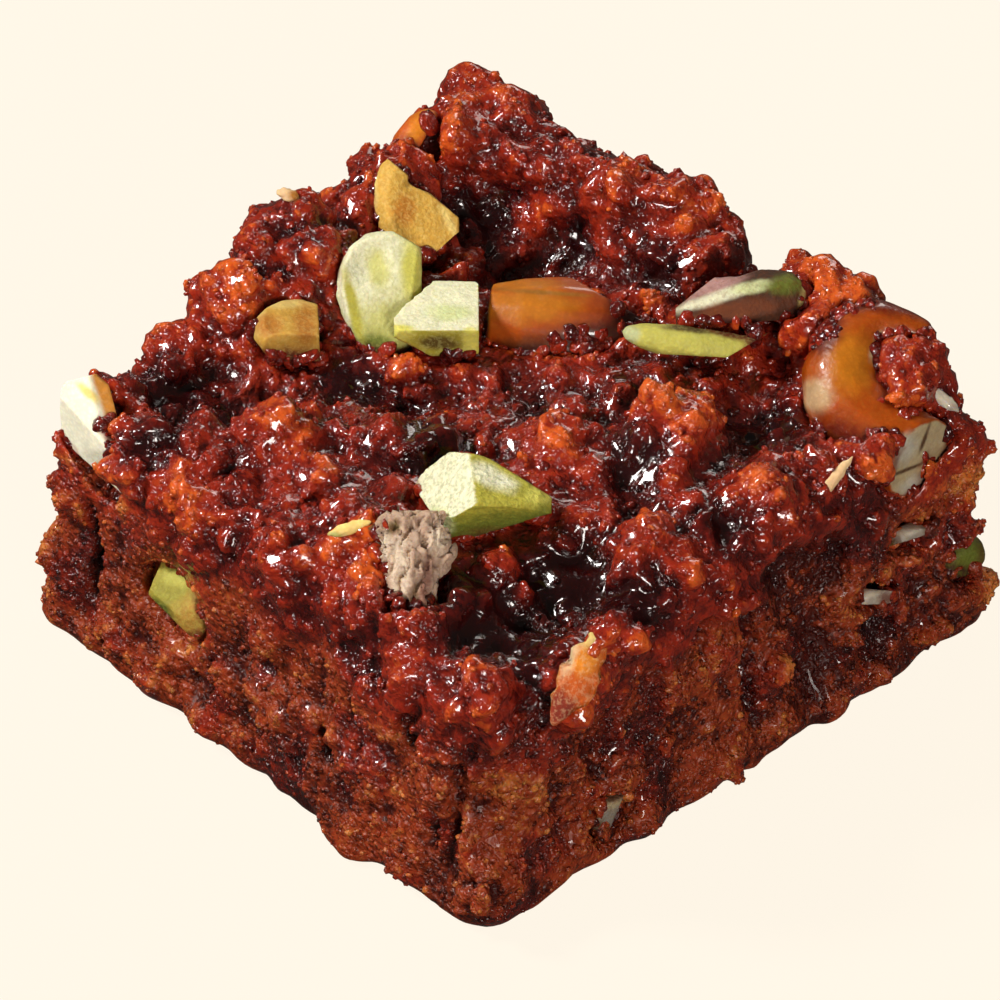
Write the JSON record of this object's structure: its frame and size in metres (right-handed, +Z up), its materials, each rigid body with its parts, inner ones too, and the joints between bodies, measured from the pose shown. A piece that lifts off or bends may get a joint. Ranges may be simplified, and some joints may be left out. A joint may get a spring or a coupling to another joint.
{
  "type": "habshi halwa",
  "caption": "Square block of dark, sticky, grainy milk halwa with pistachio, cashew and almond pieces set in its craggy top and cut sides, eaten as a sweet.",
  "frame": {"origin": "on the flat base, below the middle of the piece's bounding box", "axes": "+Z up; -Y and +X are the outward normals of the two cut sides that show, and the highest crag stands at the -X, +Y corner"},
  "size_m": [0.0506, 0.0506, 0.0267],
  "materials": {
    "halwa": "glossy syrupy crumb",
    "pistachio": "cut pale green kernel",
    "pistachio_skin": "dry wrinkled seed coat",
    "cashew": "syrup-glazed",
    "nut_flesh": "cut cream flesh"
  },
  "bodies": {
    "root": {"halwa": "halwa", "pistachio_front": "pistachio", "pistachio_skin": "pistachio_skin", "pistachio_round": "pistachio", "pistachio_block": "pistachio", "pistachio_golden": "pistachio", "pistachio_stub": "pistachio", "pistachio_purple": "pistachio_skin", "pistachio_sliver": "pistachio", "pistachio_left_face": "pistachio", "pistachio_right_edge": "pistachio", "cashew_half": "cashew", "cashew_curl": "cashew", "cashew_sliver": "cashew", "almond_wedge": "nut_flesh", "almond_chip_upper": "nut_flesh", "almond_chip_lower": "nut_flesh", "cashew_chip_low": "nut_flesh"}
  },
  "joints": []
}
